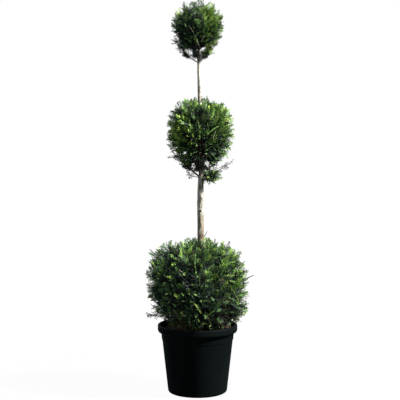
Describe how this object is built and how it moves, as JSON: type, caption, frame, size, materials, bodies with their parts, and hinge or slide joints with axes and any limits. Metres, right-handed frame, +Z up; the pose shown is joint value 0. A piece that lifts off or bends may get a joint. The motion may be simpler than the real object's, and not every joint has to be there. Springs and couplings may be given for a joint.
{
  "type": "potted ball topiary",
  "caption": "Clipped cypress topiary: balls of fine conifer sprays spaced along one bare upright trunk, growing in a tapered black nursery pot of soil.",
  "frame": {"origin": "centre of the pot's flat underside", "axes": "+Z up along the trunk, -Y towards the side that the picture shows, +X to its right"},
  "size_m": [0.483, 0.4453, 1.7579],
  "materials": {
    "pot": "black moulded plastic, dusty satin with light scuffs",
    "soil": "dark damp bark-based potting mix",
    "bark": "grey-brown stringy bark with pruning knots",
    "foliage": "dark to yellow-green scale-leaved sprays, matt"
  },
  "bodies": {
    "root": {"pot": "pot", "soil": "soil", "trunk": "bark", "ball_bottom": "foliage", "ball_middle": "foliage", "ball_top": "foliage", "bough_middle_1": "bark", "bough_middle_2": "bark", "bough_middle_3": "bark", "bough_middle_4": "bark", "bough_middle_5": "bark", "clump_middle_1": "foliage", "clump_middle_2": "foliage", "clump_middle_3": "foliage", "clump_middle_4": "foliage", "clump_middle_5": "foliage", "bough_top_1": "bark", "bough_top_2": "bark", "bough_top_3": "bark", "bough_top_4": "bark", "bough_top_5": "bark", "clump_top_1": "foliage", "clump_top_2": "foliage", "clump_top_3": "foliage", "clump_top_4": "foliage", "clump_top_5": "foliage"}
  },
  "joints": []
}
